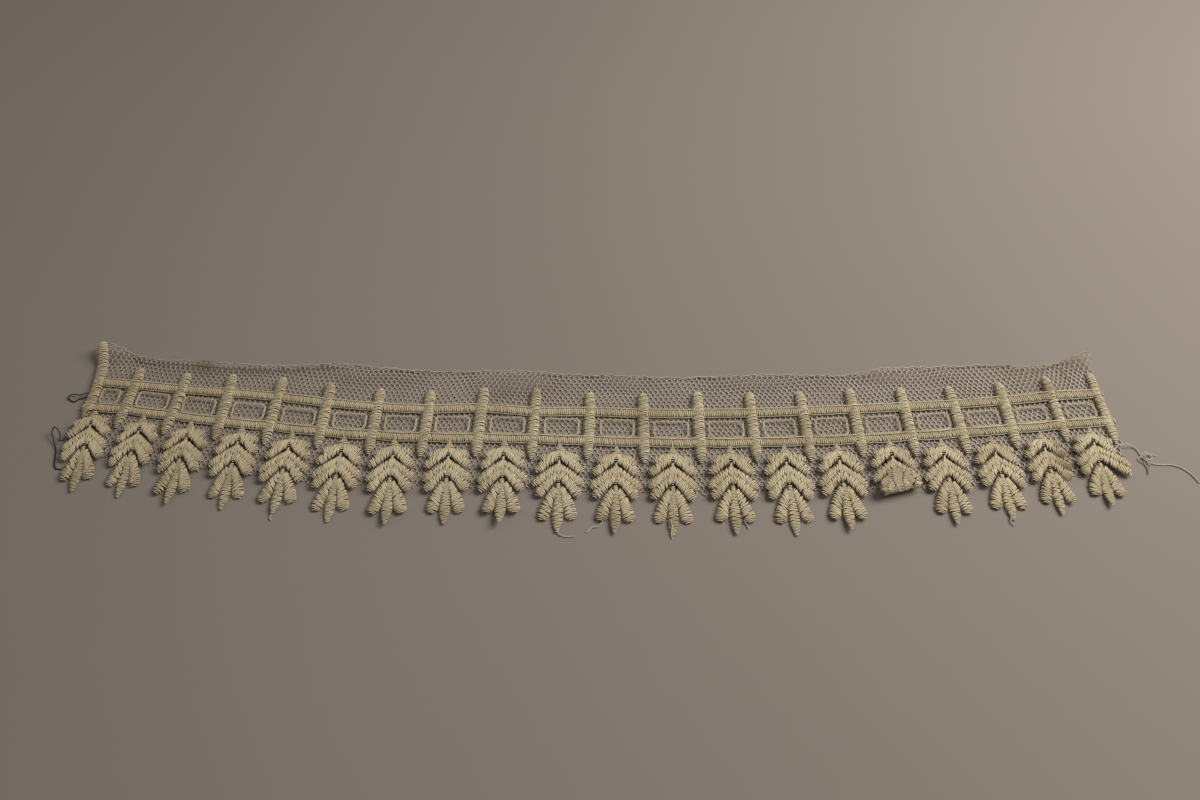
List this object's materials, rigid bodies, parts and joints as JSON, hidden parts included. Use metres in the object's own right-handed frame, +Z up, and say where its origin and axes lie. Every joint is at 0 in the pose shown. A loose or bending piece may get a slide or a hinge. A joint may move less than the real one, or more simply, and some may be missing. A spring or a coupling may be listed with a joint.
{
  "type": "lace trim",
  "caption": "Lace trim: a strip of net with stitched rails, crossing pickets, corded windows and a hanging row of leaves, lying in a shallow curve.",
  "frame": {"origin": "on the underside of the plain net heading, half way along the trim, where it is sewn on", "axes": "+X along the trim to the right, +Y from the leaves up to the net heading, +Z up off the surface that the trim lies on"},
  "size_m": [0.3646, 0.081, 0.0052],
  "materials": {
    "cotton_net": "fine hexagonal cotton net, matt",
    "cream_satin": "close satin stitch in ecru cotton, soft sheen",
    "couched_cord": "thin couched cord, matt",
    "dark_thread": "dark tacking thread, matt",
    "pale_thread": "loose pale thread, matt"
  },
  "bodies": {
    "root": {"net": "cotton_net", "fence": "cream_satin", "window_01": "couched_cord", "window_02": "couched_cord", "window_03": "couched_cord", "window_04": "couched_cord", "window_05": "couched_cord", "window_06": "couched_cord", "window_07": "couched_cord", "window_08": "couched_cord", "window_09": "couched_cord", "window_10": "couched_cord", "window_11": "couched_cord", "window_12": "couched_cord", "window_13": "couched_cord", "window_14": "couched_cord", "window_15": "couched_cord", "window_16": "couched_cord", "window_17": "couched_cord", "window_18": "couched_cord", "window_19": "couched_cord", "window_20": "couched_cord", "leaf_01": "cream_satin", "leaf_02": "cream_satin", "leaf_03": "cream_satin", "leaf_04": "cream_satin", "leaf_05": "cream_satin", "leaf_06": "cream_satin", "leaf_07": "cream_satin", "leaf_08": "cream_satin", "leaf_09": "cream_satin", "leaf_10": "cream_satin", "leaf_11": "cream_satin", "leaf_12": "cream_satin", "leaf_13": "cream_satin", "leaf_14": "cream_satin", "leaf_15": "cream_satin", "leaf_16": "cream_satin", "leaf_17": "cream_satin", "leaf_18": "cream_satin", "leaf_19": "cream_satin", "leaf_20": "cream_satin", "thread_tail": "pale_thread", "thread_big_loop": "dark_thread", "thread_small_loop": "dark_thread"}
  },
  "joints": []
}
